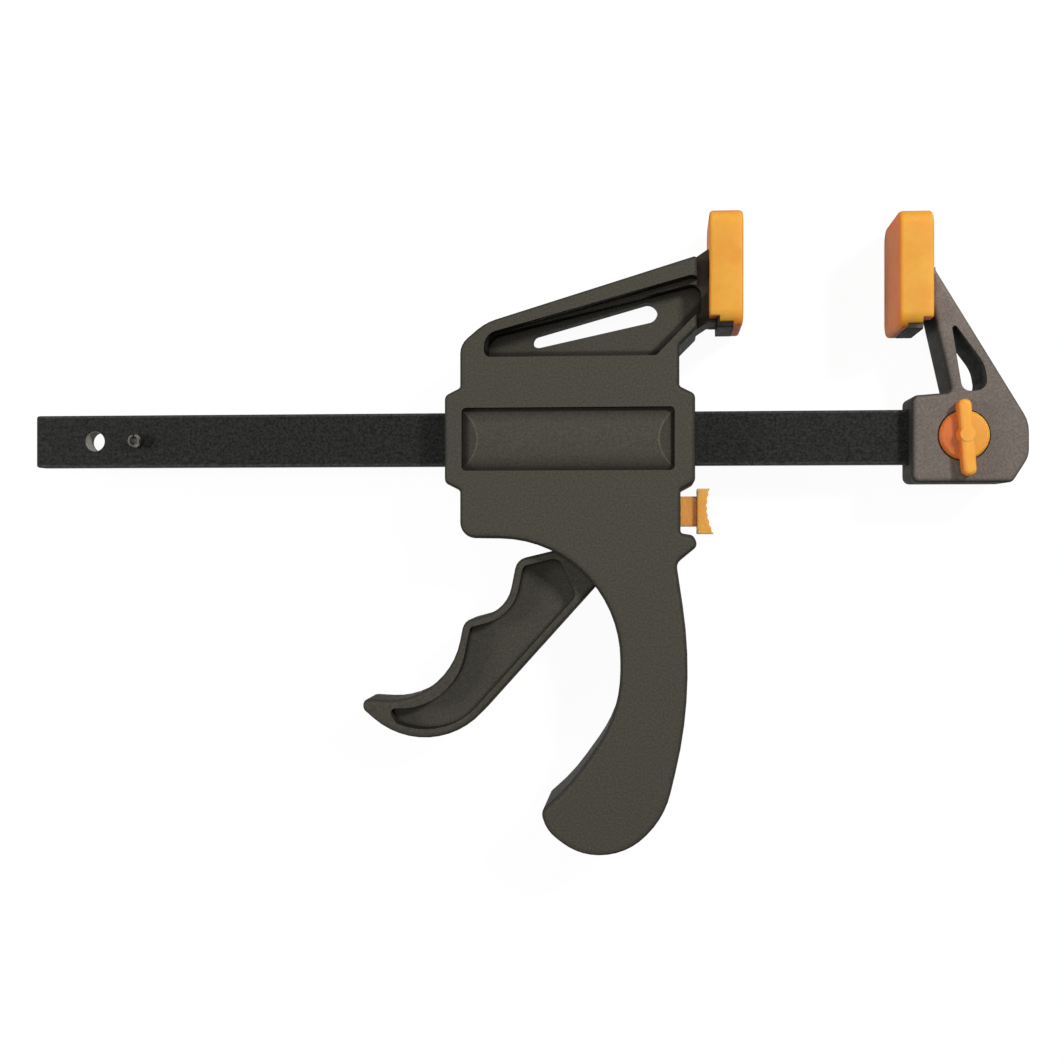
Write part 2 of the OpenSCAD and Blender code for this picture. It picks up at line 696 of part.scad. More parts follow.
// One half of the body, from z = 0 up, before its screw holes are made
module shell_half() difference() {
    union() {
        moulding(body_outline, -2 * past, body_depth / 2, shell_edge);
        tongue();
        plate(neck_outline, -neck_width / 2, neck_width / 2);
    }
    block([collar_left - past, grip_bottom - past, -body_depth], [past, pad_top, 0]);
    arm_pocket();
    web_slot();
    panel_recess();
    grip_hollow();
    mechanism_chambers();
    translate([pivot[0], pivot[1], -past]) cylinder(d = trigger_pin_diameter, h = body_depth / 2 - 2);
}

module front_shell() color(moulded) place() difference() {
    shell_half();
    for (p = screw_places)
        translate([p[0], p[1], -past]) cylinder(
            d = screw_diameter + 2 * press_clearance, h = past + screw_length - body_depth / 2 + screw_seat + 1);
}

module rear_shell() color(moulded) place() difference() {
    mirror([0, 0, 1]) shell_half();
    for (p = screw_places) translate([p[0], p[1], -body_depth / 2]) {
        translate([0, 0, -past]) cylinder(d = screw_head + 2 * fit_clearance, h = screw_seat + past);
        cylinder(d = screw_diameter + 2 * fit_clearance, h = body_depth);
    }
}

// Pan-head screws driven in from the back, with a cross recess
module shell_screws() color(black_steel) place() for (p = screw_places)
    translate([p[0], p[1], -body_depth / 2 + screw_seat]) difference() {
        radius = screw_diameter / 2;
        rotate_extrude() polygon([
            [0, -screw_head_height], [screw_head / 2 - 0.7, -screw_head_height],
            [screw_head / 2, -screw_head_height + 0.9], [screw_head / 2, 0],
            [radius, 0], [radius, screw_length - 2], [0.3, screw_length], [0, screw_length]
        ]);
        for (angle = [0, 90]) rotate(angle)
            block([-1.5, -0.35, -screw_head_height - past], [1.5, 0.35, -screw_head_height + 1.2]);
    }

// The trigger's corners, anticlockwise from the beak's underside
heel_radius = 28;
beak_under = [pivot[0] - 90.1, pivot[1] - 63.2, 2.2];
heel = [pivot[0] - 65.9, pivot[1] - 83.9, heel_radius];
pivot_back = [pivot[0] + 7.1, pivot[1] - 2.75, 6.5];
nose_right = [nose[0] + nose_radius, nose[1] + nose_radius, nose_radius - 0.1];
nose_left = [nose[0] - nose_radius, nose[1] + nose_radius, nose_radius - 0.1];
neck_foot = [nose[0] - nose_radius, pivot[1] + 6.5, 2];
boss_side = [pivot[0] - 8, pivot[1] + 3.5, 4];
boss_foot = [pivot[0] - 13, pivot[1] - 4.3, 6];
top_bump = [pivot[0] - 35.3, pivot[1] - 9.7, 5];
first_groove = [pivot[0] - 38.8, pivot[1] - 27.2, 12.5];
middle_bump = [pivot[0] - 54.1, pivot[1] - 31.4, 4.5];
second_groove = [pivot[0] - 60, pivot[1] - 60.6, 26];
beak_over = [pivot[0] - 90.9, pivot[1] - 59.2, 2.2];
trigger_outline = [
    beak_under, heel, pivot_back, nose_right, nose_left, neck_foot, boss_side, boss_foot,
    top_bump, first_groove, middle_bump, second_groove, beak_over
];
// Places of the corners on the fingers' side in the outline
finger_side = [8 : 11];
// Pockets on both sides of the web follow the outline at the rim's width and stop short of beak and pivot
trigger_pocket = concat(
    [
        [pivot[0] - 78.2, pivot[1] - 67.6, 2], [pivot[0] - 60.9, pivot[1] - 74.3, heel_radius - trigger_rim],
        [pivot[0] - 14, pivot[1] - 22.2, 3.5], [pivot[0] - 20.4, pivot[1] - 8.85, 3.5]
    ],
    [for (i = finger_side) inset_corner(trigger_outline, i, trigger_rim)],
    [[pivot[0] - 81.4, pivot[1] - 62.2, 2]]
);

module trigger() color(moulded) place() difference() {
    half = trigger_thickness / 2;
    moulding(trigger_outline, -half, half, trigger_edge, trigger_edge);
    plate(trigger_pocket, trigger_web / 2, half + past);
    plate(trigger_pocket, -half - past, -trigger_web / 2);
    translate([pivot[0], pivot[1], -half - past])
        cylinder(r = trigger_pin_diameter / 2 + pin_clearance, h = 2 * (half + past));
}

module trigger_pin() color(bright_steel) place() translate([pivot[0], pivot[1], 0]) rotate_extrude() {
    half = body_depth / 2 - 3.4;
    radius = trigger_pin_diameter / 2 - press_clearance;
    chamfer = 0.5;
    polygon([
        [0, -half], [radius - chamfer, -half], [radius, -half + chamfer],
        [radius, half - chamfer], [radius - chamfer, half], [0, half]
    ]);
}

// Steel plate with a window that the bar passes through, its face on the plane x = 0
module bar_plate(thickness, bottom, top, hole_height) difference() {
    rotate([90, 0, 90]) plate([
        [bottom, -plate_width / 2, 1.5], [top, -plate_width / 2, 1.5],
        [top, plate_width / 2, 1.5], [bottom, plate_width / 2, 1.5]
    ], 0, thickness);
    block([-past, -hole_height / 2, -bar_thickness / 2 - bar_clearance],
          [thickness + past, hole_height / 2, bar_thickness / 2 + bar_clearance]);
}
module drive_plate_left() color(bright_steel) place() translate([drive_left, 0, 0])
    bar_plate(drive_plate_thickness, drive_bottom, drive_top, bar_height + 2 * bar_clearance);
module drive_plate_right() color(bright_steel) place()
    translate([drive_left + drive_plate_thickness, 0, 0])
        bar_plate(drive_plate_thickness, drive_bottom, drive_top, bar_height + 2 * bar_clearance);

// The brake plate leans so that its window's edges bite the bar
module brake_plate() color(bright_steel) place()
    translate([brake_seat[0], brake_seat[1], 0]) rotate(brake_lean)
        translate([-brake_plate_thickness / 2, -brake_seat[1] / cos(brake_lean), 0])
            bar_plate(brake_plate_thickness, brake_tip / cos(brake_lean), brake_seat[1] + 1.6, brake_hole);

// Coil spring along X from x0 to x1, swept round a helix with its two ends closed
module coil_spring(x0, x1, coil_radius, wire, turns, rings_per_turn) {
    sides = 8;
    count = ceil(turns * rings_per_turn);
    travel = x1 - x0 - wire;
    lead = travel / (turns * 360);
    slope = atan(travel / (2 * PI * coil_radius * turns));
    points = [
        for (i = [0 : count]) let (w = 360 * turns * i / count)
            for (k = [0 : sides - 1]) let (
                s = 360 * k / sides,
                out = wire / 2 * cos(s),
                across = wire / 2 * sin(s)
            ) [
                x0 + wire / 2 + lead * w + across * cos(slope),
                (coil_radius + out) * cos(w) + across * sin(slope) * sin(w),
                (coil_radius + out) * sin(w) - across * sin(slope) * cos(w)
            ]
    ];
    polyhedron(points = points, faces = concat(
        [[for (k = [sides - 1 : -1 : 0]) k]],
        [for (i = [0 : count - 1]) for (k = [0 : sides - 1])
            [i * sides + k, i * sides + (k + 1) % sides,
             (i + 1) * sides + (k + 1) % sides, (i + 1) * sides + k]],
        [[for (k = [0 : sides - 1]) count * sides + k]]
    ));
}
module drive_spring() color(spring_steel) place() coil_spring(
    spring_seat + 0.1, drive_left - 0.1, spring_inner + drive_wire / 2, drive_wire, drive_turns, 16);

brake_spring_y = low - 15;
brake_spring_end = brake_seat[0] + (brake_seat[1] - brake_spring_y - brake_spring_diameter / 2) * tan(brake_lean)
    - brake_plate_thickness / 2 / cos(brake_lean);
module brake_spring() color(spring_steel) place() translate([0, brake_spring_y, 0]) coil_spring(
    spring_rib + 0.1, brake_spring_end - 0.1,
    (brake_spring_diameter - brake_wire) / 2, brake_wire, 4.5, 14);

// Release button: a flange held behind the body's wall, a stem and a toothed thumb face
module release_button() color(orange) place() {
    stem = button_stem / 2;
    flange_depth = 5.3;
    flange_out = 1.3;
    half = button_height / 2;
    head_left = body_right + 6.3;
    head_thickness = 2.9;
    hollow = 1.6;
    slope = 1.4;
    tooth = 0.45;
    face = [for (i = [0 : 2 * button_teeth]) let (
        t = i / (2 * button_teeth),
        bow = 4 * hollow * (t - 0.5) * (t - 0.5),
        notch = i % 2 == 1 ? tooth : 0
    ) [head_left + head_thickness + bow + slope * (1 - t) - notch, button_y - half + button_height * t]];
    block([flange_left, button_y - stem - flange_out, -flange_depth],
          [flange_right, button_y + stem + flange_out, flange_depth]);
    block([flange_right - 0.2, button_y - stem, -stem_depth], [head_left + 0.5, button_y + stem, stem_depth]);
    linear_extrude(button_width, center = true)
        polygon(concat([[head_left, button_y + half], [head_left, button_y - half]], face));
}

bar();
stop_pin();
fixed_jaw();
fixed_pad();
jaw_pin();
wing_knob();
front_shell();
rear_shell();
shell_screws();
moving_pad();
trigger();
trigger_pin();
drive_plate_left();
drive_plate_right();
drive_spring();
brake_plate();
brake_spring();
release_button();
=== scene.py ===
# %% [markdown]
# A one-handed bar clamp, dressed for a catalogue picture.
# The CAD model comes in first and stays where it is. Each of its pieces is a Blender object in metres.

# %% Load the clamp
import math
import bpy
from mathutils import Matrix, Vector


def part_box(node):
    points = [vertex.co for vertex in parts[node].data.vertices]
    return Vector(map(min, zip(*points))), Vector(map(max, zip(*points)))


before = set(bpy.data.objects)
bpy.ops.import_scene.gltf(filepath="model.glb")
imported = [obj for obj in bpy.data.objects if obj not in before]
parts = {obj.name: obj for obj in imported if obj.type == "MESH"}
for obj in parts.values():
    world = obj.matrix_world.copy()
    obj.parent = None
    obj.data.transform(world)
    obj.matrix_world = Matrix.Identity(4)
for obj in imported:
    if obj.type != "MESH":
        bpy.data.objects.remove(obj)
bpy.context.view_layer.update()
print("pieces:", ", ".join(sorted(parts)))

# %% [markdown]
# The picture is taken from in front of the clamp, about 400 mm away, with the camera turned 4 degrees to
# its left. A camera could be aimed with a constraint, but then its roll is not fixed. Here its three
# axes are written down as a matrix, so nothing is left to chance.

# %% Place the camera
MM = 0.001
CAMERA_PLACE = Vector((53.1, 0.36, 425.0)) * MM
CAMERA_TURN = math.radians(4.0)
LENS = 39.0
SENSOR = 36.0
SIDE_SHIFT = -0.05
NEAREST = 0.01

right = Vector((math.cos(CAMERA_TURN), 0, -math.sin(CAMERA_TURN)))
up = Vector((0, 1, 0))
back = right.cross(up)
camera_data = bpy.data.cameras.new("camera")
camera_data.lens = LENS
camera_data.sensor_width = SENSOR
camera_data.shift_x = SIDE_SHIFT
camera_data.clip_start = NEAREST
camera = bpy.data.objects.new("camera", camera_data)
axes = Matrix((right, up, back)).transposed().to_4x4()
camera.matrix_world = Matrix.Translation(CAMERA_PLACE) @ axes
bpy.context.collection.objects.link(camera)
bpy.context.scene.camera = camera
bpy.context.scene.view_settings.view_transform = "Standard"
print("camera looks along", tuple(round(v, 3) for v in -back))

# %% [markdown]
# A material is a tree of nodes. These helpers each add one small node and wire it up, so the finishes
# below read as recipes. One feeds a socket from a number or from another node. Others do a sum, blend two
# colours, or turn a value into a range or into a colour between two shades.

# %% Helpers that wire nodes
def new_material(name):
    made = bpy.data.materials.new(name)
    made.use_nodes = True
    tree = made.node_tree
    return made, tree, tree.nodes["Principled BSDF"]


def feed(tree, source, socket):
    if isinstance(source, (int, float)):
        socket.default_value = source
    else:
        tree.links.new(source, socket)


def combine(tree, how, *values):
    made = tree.nodes.new("ShaderNodeMath")
    made.operation = how
    for slot, value in enumerate(values):
        feed(tree, value, made.inputs[slot])
    return made.outputs[0]


def product(tree, first, *others):
    made = first
    for value in others:
        made = combine(tree, "MULTIPLY", made, value)
    return made


def span(tree, value, low, high, start=0.3, end=0.7):
    made = tree.nodes.new("ShaderNodeMapRange")
    made.inputs["From Min"].default_value = start
    made.inputs["From Max"].default_value = end
    made.inputs["To Min"].default_value = low
    made.inputs["To Max"].default_value = high
    tree.links.new(value, made.inputs["Value"])
    return made.outputs["Result"]


def shades(tree, value, low, high, start=0.35, end=0.65):
    ramp = tree.nodes.new("ShaderNodeValToRGB")
    ramp.color_ramp.elements[0].position = start
    ramp.color_ramp.elements[0].color = (*low, 1)
    ramp.color_ramp.elements[1].position = end
    ramp.color_ramp.elements[1].color = (*high, 1)
    tree.links.new(value, ramp.inputs["Fac"])
    return ramp.outputs["Color"]


def blend(tree, share, below, above):
    made = tree.nodes.new("ShaderNodeMix")
    made.data_type = "RGBA"
    feed(tree, share, made.inputs["Factor"])
    tree.links.new(below, made.inputs[6])
    tree.links.new(above, made.inputs[7])
    return made.outputs[2]


def scaled(tree, colour, factor):
    made = tree.nodes.new("ShaderNodeVectorMath")
    made.operation = "SCALE"
    tree.links.new(colour, made.inputs[0])
    tree.links.new(factor, made.inputs["Scale"])
    return made.outputs[0]


def tinted(colour, factor):
    return tuple(channel * factor for channel in colour)


print("helpers ready")

# %% [markdown]
# A studio table is one pale sheet. A small plane would do for this camera, but its edge would show in a
# low view, so the sheet is made far wider than the clamp. Its material adds a glow for the camera and for
# reflections only. That turns the table white in the picture and leaves a trace of the clamp's shadow.

# %% Lay the table
TABLE_HALF = 6.0
TABLE_DROP = 0.0002
TABLE_GREY = 0.07
TABLE_ROUGHNESS = 0.9
TABLE_GLOW = 0.95


def pale_sheet():
    made, tree, shader = new_material("table_white")
    shader.inputs["Base Color"].default_value = (TABLE_GREY, TABLE_GREY, TABLE_GREY, 1)
    shader.inputs["Roughness"].default_value = TABLE_ROUGHNESS
    shader.inputs["Specular IOR Level"].default_value = 0.0
    path = tree.nodes.new("ShaderNodeLightPath")
    seen = combine(tree, "MAXIMUM", path.outputs["Is Camera Ray"], path.outputs["Is Glossy Ray"])
    shader.inputs["Emission Color"].default_value = (1, 1, 1, 1)
    feed(tree, product(tree, seen, TABLE_GLOW), shader.inputs["Emission Strength"])
    return made


sheet = bpy.data.meshes.new("table")
signs = [(-1, -1), (1, -1), (1, 1), (-1, 1)]
corners = [(x * TABLE_HALF, y * TABLE_HALF, -TABLE_DROP) for x, y in signs]
sheet.from_pydata(corners, [], [(0, 1, 2, 3)])
table = bpy.data.objects.new("table", sheet)
table.data.materials.append(pale_sheet())
bpy.context.collection.objects.link(table)
print("table:", 2 * TABLE_HALF, "m wide")

# %% [markdown]
# Three square lamps light the clamp, between pale walls that are the world's own light. The key lamp
# stands above and to the right, and makes the shadows. A weaker lamp in front fills the recesses, and a
# low one on the left lights the sides of the pads. A sun could be the key, but a lamp with a width gives
# steel and smooth plastic a soft-edged reflection, which shows their roundness.

# %% Light the clamp
WORLD_LEVEL = 0.16
world = bpy.data.worlds.new("studio")
bpy.context.scene.world = world
world.use_nodes = True
background = world.node_tree.nodes["Background"]
background.inputs["Color"].default_value = (1, 1, 1, 1)
background.inputs["Strength"].default_value = WORLD_LEVEL


def lamp(name, place, watts, width):
    data = bpy.data.lights.new(name, "AREA")
    data.energy = watts
    data.size = width
    made = bpy.data.objects.new(name, data)
    made.location = place
    made.rotation_euler = (-Vector(place)).to_track_quat("-Z", "Y").to_euler()
    bpy.context.collection.objects.link(made)


lamp("key", place=(0.62, 0.45, 0.68), watts=7.0, width=0.14)
lamp("front", place=(0.10, 0.06, 1.10), watts=2.3, width=0.30)
lamp("left", place=(-0.80, 0.05, 0.46), watts=4.0, width=0.30)

# %% [markdown]
# Each finish is built from noise at the size of the real surface. Coordinates are in metres, so a noise
# scale of 1000 repeats about every millimetre. An image texture could hold the same grain, but noise has
# no seams and no fixed sharpness. A finish may also depend on the place on the clamp, or on whether a
# face looks to the front. Both are read from the object itself, so they are the same in every view.

# %% Noise, place and relief
def place_on(tree):
    return tree.nodes.new("ShaderNodeTexCoord").outputs["Object"]


def parted(tree, vector):
    split = tree.nodes.new("ShaderNodeSeparateXYZ")
    tree.links.new(vector, split.inputs[0])
    return split.outputs


def facing_front(tree, start, end):
    normal = tree.nodes.new("ShaderNodeTexCoord").outputs["Normal"]
    return span(tree, parted(tree, normal)["Z"], 0.0, 1.0, start, end)


def noise(tree, scale, detail, rough=0.6, stretch=None):
    made = tree.nodes.new("ShaderNodeTexNoise")
    made.inputs["Scale"].default_value = scale
    made.inputs["Detail"].default_value = detail
    made.inputs["Roughness"].default_value = rough
    source = place_on(tree)
    if stretch:
        mapping = tree.nodes.new("ShaderNodeMapping")
        mapping.inputs["Scale"].default_value = stretch
        tree.links.new(source, mapping.inputs["Vector"])
        source = mapping.outputs["Vector"]
    tree.links.new(source, made.inputs["Vector"])
    return made.outputs["Fac"]


def relief(tree, height, depth, under=None):
    made = tree.nodes.new("ShaderNodeBump")
    made.inputs["Distance"].default_value = depth
    tree.links.new(height, made.inputs["Height"])
    if under:
        tree.links.new(under, made.inputs["Normal"])
    return made.outputs["Normal"]


print("noise, place and relief ready")

# %% [markdown]
# Some marks belong to one place. Painted shade darkens the lower edge of the arm's pocket, where shade
# falls in the crease. The barrel panel gets a painted highlight along its two curved crests, and painted
# shade on the ramps beyond them and along its rolled sides. The jaw's strut is painted lighter towards its
# pad, as painted light. Each mark is a factor for the colour, made from the place on the object: 1 leaves
# the colour as it is.

# %% Painted light and shade by place
POCKET_CORNERS = ((-0.00965, 0.06086), (0.04985, 0.06086), (0.06535, 0.07676))
POCKET_DEPTHS = (0.0170, 0.0292)
POCKET_MARGIN = 0.0003
POCKET_SHADE = 0.45
POCKET_SHADE_BAND = (0.0027, 0.0036)
POCKET_SHADE_WAVE = 0.0006
POCKET_SHADE_WAVE_SCALE = 700

PANEL_MIDDLE = (0.01935, 0.03246)
PANEL_HALF = (0.0372, 0.0108)
PANEL_DEPTHS = (0.0265, 0.02995)
ARC_APEX = 0.03140
ARC_RISE = 0.0047
ARC_HALF = 0.0095
CREST_HIGHLIGHT = 1.55
CREST_BAND = (0.00012, 0.00048)
RAMP_SHADE = 0.80
RAMP_BAND = (0.0, 0.00030)
ROLL_SHADE = 0.70
ROLL_BAND = (0.5 * PANEL_HALF[1], 0.9 * PANEL_HALF[1])

STRUT_LIGHT = 1.40
STRUT_BAND = (0.062, 0.088)


def between(tree, value, low, high):
    return product(tree, combine(tree, "GREATER_THAN", value, low), combine(tree, "LESS_THAN", value, high))


def only_where(tree, mask, factor):
    return combine(tree, "ADD", combine(tree, "SUBTRACT", 1.0, mask), product(tree, mask, factor))


def off_line(tree, place, start, end):
    length = math.hypot(end[0] - start[0], end[1] - start[1])
    across = ((start[1] - end[1]) / length, (end[0] - start[0]) / length)
    level = start[0] * across[0] + start[1] * across[1]
    here = combine(tree, "ADD", product(tree, place["X"], across[0]), product(tree, place["Y"], across[1]))
    return combine(tree, "ABSOLUTE", combine(tree, "SUBTRACT", here, level))


# Painted shade: a darker band along the lower edges of the arm's pocket, where shade falls in the crease.
def pocket_painted_shade(tree):
    place = parted(tree, place_on(tree))
    over_edge = combine(tree, "GREATER_THAN", place["Y"], POCKET_CORNERS[0][1] - POCKET_MARGIN)
    inside = product(tree, between(tree, place["Z"], *POCKET_DEPTHS), over_edge)
    bands = []
    for start, end in zip(POCKET_CORNERS, POCKET_CORNERS[1:]):
        wave = product(tree, noise(tree, POCKET_SHADE_WAVE_SCALE, detail=2), POCKET_SHADE_WAVE)
        away = combine(tree, "SUBTRACT", off_line(tree, place, start, end), wave)
        bands.append(span(tree, away, POCKET_SHADE, 1.0, *POCKET_SHADE_BAND))
    return only_where(tree, inside, product(tree, *bands))


# Painted highlight along the panel's two curved crests, and painted shade on the ramps beyond them and
# along its rolled sides.
def panel_painted_light(tree):
    place = parted(tree, place_on(tree))
    along = combine(tree, "ABSOLUTE", combine(tree, "SUBTRACT", place["X"], PANEL_MIDDLE[0]))
    across = combine(tree, "ABSOLUTE", combine(tree, "SUBTRACT", place["Y"], PANEL_MIDDLE[1]))
    inside = product(
        tree, between(tree, place["Z"], *PANEL_DEPTHS), combine(tree, "LESS_THAN", along, PANEL_HALF[0]),
        combine(tree, "LESS_THAN", across, PANEL_HALF[1]))
    bend = product(tree, across, across, ARC_RISE / ARC_HALF ** 2)
    past = combine(tree, "SUBTRACT", along, combine(tree, "ADD", bend, ARC_APEX))
    ramp = span(tree, past, 1.0, RAMP_SHADE, *RAMP_BAND)
    crest = span(tree, combine(tree, "ABSOLUTE", past), CREST_HIGHLIGHT, 1.0, *CREST_BAND)
    roll = span(tree, across, 1.0, ROLL_SHADE, *ROLL_BAND)
    return only_where(tree, inside, product(tree, ramp, crest, roll))


# Painted light: the jaw's strut is painted lighter towards its pad.
def strut_painted_light(tree):
    return span(tree, parted(tree, place_on(tree))["Y"], 1.0, STRUT_LIGHT, *STRUT_BAND)


print("marks ready")

# %% [markdown]
# The body, trigger and jaw are glass-filled nylon from a spark-eroded mould: near black, slightly brown,
# with a fine even grain that breaks up every highlight. The grain is a bump of about a twentieth of a
# millimetre. A slow noise shifts the shade a little, as flow in the mould does. The front faces are
# painted lighter than the sides: painted light on the fronts and painted shade on the sides. The creases
# get painted shade from an ambient occlusion node, which measures how open the surface is within a few
# millimetres, whatever the view.

# %% The moulded body's finish
OPEN_BAND = (0.50, 0.82)
OPEN_SAMPLES = 8
FLOW_SCALE = 55
GRAIN_SCALE = 1500
COARSE_SCALE = 600
SHEEN_SCALE = 420
GRAIN_DEPTH = 0.00005
COARSE_DEPTH = 0.00004
GRAIN_STEPS = (0.3, 0.7)
SPECK_TINTS = (0.70, 1.35)
SPECK_SHARE = 0.5
LIT_FRONT_TINTS = (0.78, 1.22)
NYLON_FRONT = (0.45, 0.92)


# Painted shade in creases: the ambient occlusion factor darkens the colour where the surface is closed in.
def crease_shade(tree, reach, darkest):
    made = tree.nodes.new("ShaderNodeAmbientOcclusion")
    made.only_local = True
    made.samples = OPEN_SAMPLES
    made.inputs["Distance"].default_value = reach
    return span(tree, made.outputs["AO"], darkest, 1.0, *OPEN_BAND)


# Painted light and shade: the colour is lighter where a face looks to the front and darker on the sides.
def grained_nylon(name, dark, light, lit_front, rough, gloss, reach, darkest, painted_marks=()):
    made, tree, shader = new_material(name)
    flow = shades(tree, noise(tree, FLOW_SCALE, detail=4), dark, light)
    grain = noise(tree, GRAIN_SCALE, detail=2, rough=0.5)
    speck = shades(tree, grain, tinted(dark, SPECK_TINTS[0]), tinted(light, SPECK_TINTS[1]), *GRAIN_STEPS)
    sides = blend(tree, SPECK_SHARE, flow, speck)
    lit_low, lit_high = (tinted(lit_front, factor) for factor in LIT_FRONT_TINTS)
    front = shades(tree, grain, lit_low, lit_high, *GRAIN_STEPS)
    colour = blend(tree, facing_front(tree, *NYLON_FRONT), sides, front)
    painted_light_and_shade = product(tree, crease_shade(tree, reach, darkest), *[mark(tree) for mark in painted_marks])
    tree.links.new(scaled(tree, colour, painted_light_and_shade), shader.inputs["Base Color"])
    tree.links.new(span(tree, noise(tree, SHEEN_SCALE, detail=2), *rough), shader.inputs["Roughness"])
    coarse = relief(tree, noise(tree, COARSE_SCALE, detail=2, rough=0.5), COARSE_DEPTH)
    tree.links.new(relief(tree, grain, GRAIN_DEPTH, coarse), shader.inputs["Normal"])
    shader.inputs["Specular IOR Level"].default_value = gloss
    return made


body_nylon = grained_nylon(
    "body_nylon", dark=(0.020, 0.019, 0.016), light=(0.028, 0.026, 0.022), lit_front=(0.065, 0.060, 0.047),
    rough=(0.54, 0.68), gloss=0.06, reach=0.0050, darkest=0.60, painted_marks=(pocket_painted_shade, panel_painted_light))
trigger_nylon = grained_nylon(
    "trigger_nylon", dark=(0.024, 0.023, 0.018), light=(0.034, 0.032, 0.025), lit_front=(0.061, 0.057, 0.045),
    rough=(0.54, 0.68), gloss=0.06, reach=0.0018, darkest=0.62)
jaw_nylon = grained_nylon(
    "jaw_nylon", dark=(0.040, 0.038, 0.033), light=(0.052, 0.049, 0.043), lit_front=(0.152, 0.129, 0.112),
    rough=(0.60, 0.74), gloss=0.05, reach=0.0030, darkest=0.62, painted_marks=(strut_painted_light,))
print("finish:", body_nylon.name, trigger_nylon.name, jaw_nylon.name)

# %% [markdown]
# The knob and the button are hard orange nylon with a fine grain. The pads are soft and orange too, a
# little duller. Light enters these plastics and comes out redder, so they scatter it under the skin. Their
# sides are painted a deeper orange than their fronts, as painted shade. Two places get a deeper painted
# shade as well: the knob's disc on the left of its wing, as the wing's painted shadow, and the button's
# stem, in the body's shade.

# %% The orange finishes
KNOB_LOW, KNOB_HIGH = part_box("wing_knob")
BUTTON_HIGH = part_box("release_button")[1]
SCATTER = (1.0, 0.30, 0.08)
SCATTER_SHARE = 0.9
ORANGE_GLOSS = 0.28
ORANGE_FRONT = (0.2, 0.85)
FRONT_SCALE = 90
SIDE_SCALE = 120
SMUDGE_SCALE = 300
SIDE_TINT = 0.94
SHADOW_ORANGE = (0.62, 0.13, 0.030)
SHADOW_TINT = 0.9
WING_SHADOW_SHARE = 0.85
WING_SHADOW_BAND = (0.0008, 0.0024)
WING_HEIGHT = 0.0022
STEM_SHADE_SHARE = 0.30
HEAD_LENGTH = 0.0052
HEAD_FADE = 0.0006


# Painted shadow of the wing on the knob's disc, to the left of the wing.
def wing_painted_shadow(tree):
    place = parted(tree, place_on(tree))
    aside = combine(tree, "SUBTRACT", (KNOB_LOW.x + KNOB_HIGH.x) / 2, place["X"])
    low = combine(tree, "LESS_THAN", place["Z"], KNOB_HIGH.z - WING_HEIGHT)
    return product(tree, low, span(tree, aside, 0.0, WING_SHADOW_SHARE, *WING_SHADOW_BAND))


# Painted shade on the button's stem, which sits in the body's shade.
def stem_painted_shade(tree):
    head = BUTTON_HIGH.x - HEAD_LENGTH
    return span(tree, parted(tree, place_on(tree))["X"], STEM_SHADE_SHARE, 0.0, head - HEAD_FADE, head)


# Painted shade: the sides get a deeper orange than the fronts.
def orange_plastic(name, shaded_side, dark, light, rough, grain_scale, grain_depth, scatter_depth, shadow_mask=None):
    made, tree, shader = new_material(name)
    cloud = noise(tree, FRONT_SCALE, detail=4)
    front = shades(tree, cloud, dark, light)
    if shadow_mask:
        shadowed = shades(tree, cloud, tinted(SHADOW_ORANGE, SHADOW_TINT), SHADOW_ORANGE)
        front = blend(tree, shadow_mask(tree), front, shadowed)
    sides = shades(tree, noise(tree, SIDE_SCALE, detail=4), tinted(shaded_side, SIDE_TINT), shaded_side)
    colour = blend(tree, facing_front(tree, *ORANGE_FRONT), sides, front)
    tree.links.new(colour, shader.inputs["Base Color"])
    tree.links.new(span(tree, noise(tree, SMUDGE_SCALE, detail=3), *rough), shader.inputs["Roughness"])
    grain = noise(tree, grain_scale, detail=2, rough=0.5)
    tree.links.new(relief(tree, grain, grain_depth), shader.inputs["Normal"])
    shader.inputs["Specular IOR Level"].default_value = ORANGE_GLOSS
    shader.inputs["Subsurface Weight"].default_value = SCATTER_SHARE
    shader.inputs["Subsurface Radius"].default_value = SCATTER
    shader.inputs["Subsurface Scale"].default_value = scatter_depth
    return made


knob_orange = orange_plastic(
    "knob_orange", shaded_side=(0.95, 0.25, 0.035), dark=(0.80, 0.37, 0.045), light=(0.86, 0.43, 0.062),
    rough=(0.38, 0.5), grain_scale=1800, grain_depth=0.00003, scatter_depth=0.004, shadow_mask=wing_painted_shadow)
button_orange = orange_plastic(
    "button_orange", shaded_side=(0.95, 0.25, 0.035), dark=(0.82, 0.40, 0.055), light=(0.88, 0.46, 0.070),
    rough=(0.38, 0.5), grain_scale=1800, grain_depth=0.00003, scatter_depth=0.003, shadow_mask=stem_painted_shade)
pad_orange = orange_plastic(
    "pad_orange", shaded_side=(1.0, 0.21, 0.020), dark=(0.80, 0.34, 0.038), light=(0.86, 0.40, 0.052),
    rough=(0.5, 0.66), grain_scale=1300, grain_depth=0.00004, scatter_depth=0.009)
print("finish:", knob_orange.name, button_orange.name, pad_orange.name)

# %% [markdown]
# The bar is cold-drawn steel with a black oxide skin. Drawing leaves faint lines along the bar, and the
# oxide is mottled. Along the two rolled edges the skin is rubbed thin, so a little steel shows, and the
# same lighter band is a painted highlight on the rounded edges. The edges are found from the height on
# the bar, which works because the bar lies along X. The wall of the spare hole has no skin, so it is pale.

